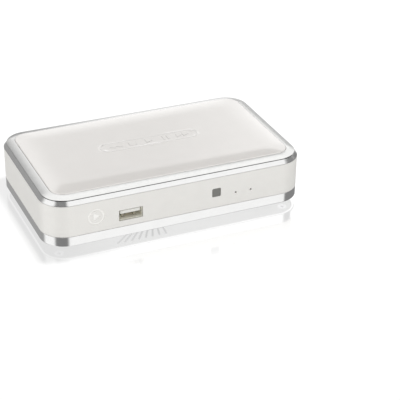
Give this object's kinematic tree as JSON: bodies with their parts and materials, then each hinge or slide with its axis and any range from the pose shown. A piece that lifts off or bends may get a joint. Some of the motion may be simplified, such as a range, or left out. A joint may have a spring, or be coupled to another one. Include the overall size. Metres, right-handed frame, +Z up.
{
  "type": "streaming media player",
  "caption": "Small rounded white set-top box with silver rings above and below, a pillow-shaped gloss cover, a USB socket and sensor window in front and sockets behind.",
  "frame": {"origin": "on the floor under the middle of the box", "axes": "+Z up, +X to the right along the front, the front faces -Y and the sockets face +Y"},
  "size_m": [0.15, 0.088, 0.033],
  "materials": {
    "cover_gloss": "high gloss white",
    "housing_satin": "satin white",
    "bezel_silver": "satin silver",
    "trim_silver": "polished silver",
    "base_plastic": "fine spark-eroded grain",
    "rear_plate": "silver grey, fine grain",
    "foot_rubber": "grey rubber",
    "screw_steel": "zinc plated",
    "socket_metal": "bright nickel",
    "contact_gold": "gold flash",
    "tongue_plastic": "grey moulded plastic",
    "socket_black": "black moulded plastic",
    "window_smoke": "smoked, polished",
    "light_pipe": "clear acrylic",
    "lamp_plastic": "tinted clear plastic",
    "emitter_red": "red tinted clear plastic",
    "button_plastic": "satin light grey",
    "board_green": "green solder resist",
    "chip_black": "moulded epoxy",
    "sink_aluminium": "extruded, clear anodised",
    "pad_rubber": "soft silicone",
    "can_aluminium": "drawn can",
    "ferrite": "sintered ferrite"
  },
  "bodies": {
    "root": {"accent_strip": "trim_silver", "av_jack": "socket_black", "base_pan": "base_plastic", "bezel_screws": "screw_steel", "board_screws": "screw_steel", "bottom_trim": "trim_silver", "bulk_capacitors": "can_aluminium", "case_screws": "screw_steel", "clock_crystal": "socket_metal", "dc_jack_body": "socket_black", "dc_jack_pin": "socket_metal", "flash_chip": "chip_black", "foot_front_left": "foot_rubber", "foot_front_right": "foot_rubber", "foot_rear_left": "foot_rubber", "foot_rear_right": "foot_rubber", "hdmi_shell": "socket_metal", "hdmi_tongue": "socket_black", "heat_sink": "sink_aluminium", "ir_receiver": "window_smoke", "ir_window": "window_smoke", "main_board": "board_green", "main_processor": "chip_black", "memory_chip_left": "chip_black", "memory_chip_right": "chip_black", "network_jack_contacts": "contact_gold", "network_jack_housing": "socket_black", "network_jack_lamps": "lamp_plastic", "network_led": "lamp_plastic", "network_light_pipe": "light_pipe", "network_transformer": "chip_black", "optical_emitter": "emitter_red", "optical_socket_body": "socket_black", "power_inductors": "ferrite", "power_led": "lamp_plastic", "power_light_pipe": "light_pipe", "power_switch_body": "socket_black", "rear_io_plate": "rear_plate", "reset_switch_body": "socket_black", "shutter_hinge_pin": "screw_steel", "shutter_spring": "screw_steel", "side_housing": "housing_satin", "thermal_pad": "pad_rubber", "top_bezel": "bezel_silver", "top_panel": "cover_gloss", "usb_front_contacts": "contact_gold", "usb_front_shell": "socket_metal", "usb_front_tongue": "tongue_plastic", "usb_rear_contacts": "contact_gold", "usb_rear_shell": "socket_metal", "usb_rear_tongue": "tongue_plastic", "voltage_regulator": "chip_black"},
    "power_button_body": {"power_button": "button_plastic"},
    "reset_plunger_body": {"reset_plunger": "button_plastic"},
    "optical_shutter_body": {"optical_shutter": "socket_black"}
  },
  "joints": [
    {"name": "power_button_press", "type": "slide", "parent": "root", "child": "power_button_body", "axis": [0, -1, 0], "range_m": [0, 0.0012], "stiffness_N_per_m": 800, "springref_m": -0.0008},
    {"name": "reset_plunger_press", "type": "slide", "parent": "root", "child": "reset_plunger_body", "axis": [0, -1, 0], "range_m": [0, 0.0004], "stiffness_N_per_m": 1500, "springref_m": -0.0004},
    {"name": "optical_shutter_swing", "type": "hinge", "parent": "root", "child": "optical_shutter_body", "pos_m": [-0.008, 0.0417, 0.02135], "axis": [-1, 0, 0], "range_deg": [0, 80], "stiffness_Nm_per_rad": 0.0002, "springref_deg": -28.65}
  ]
}
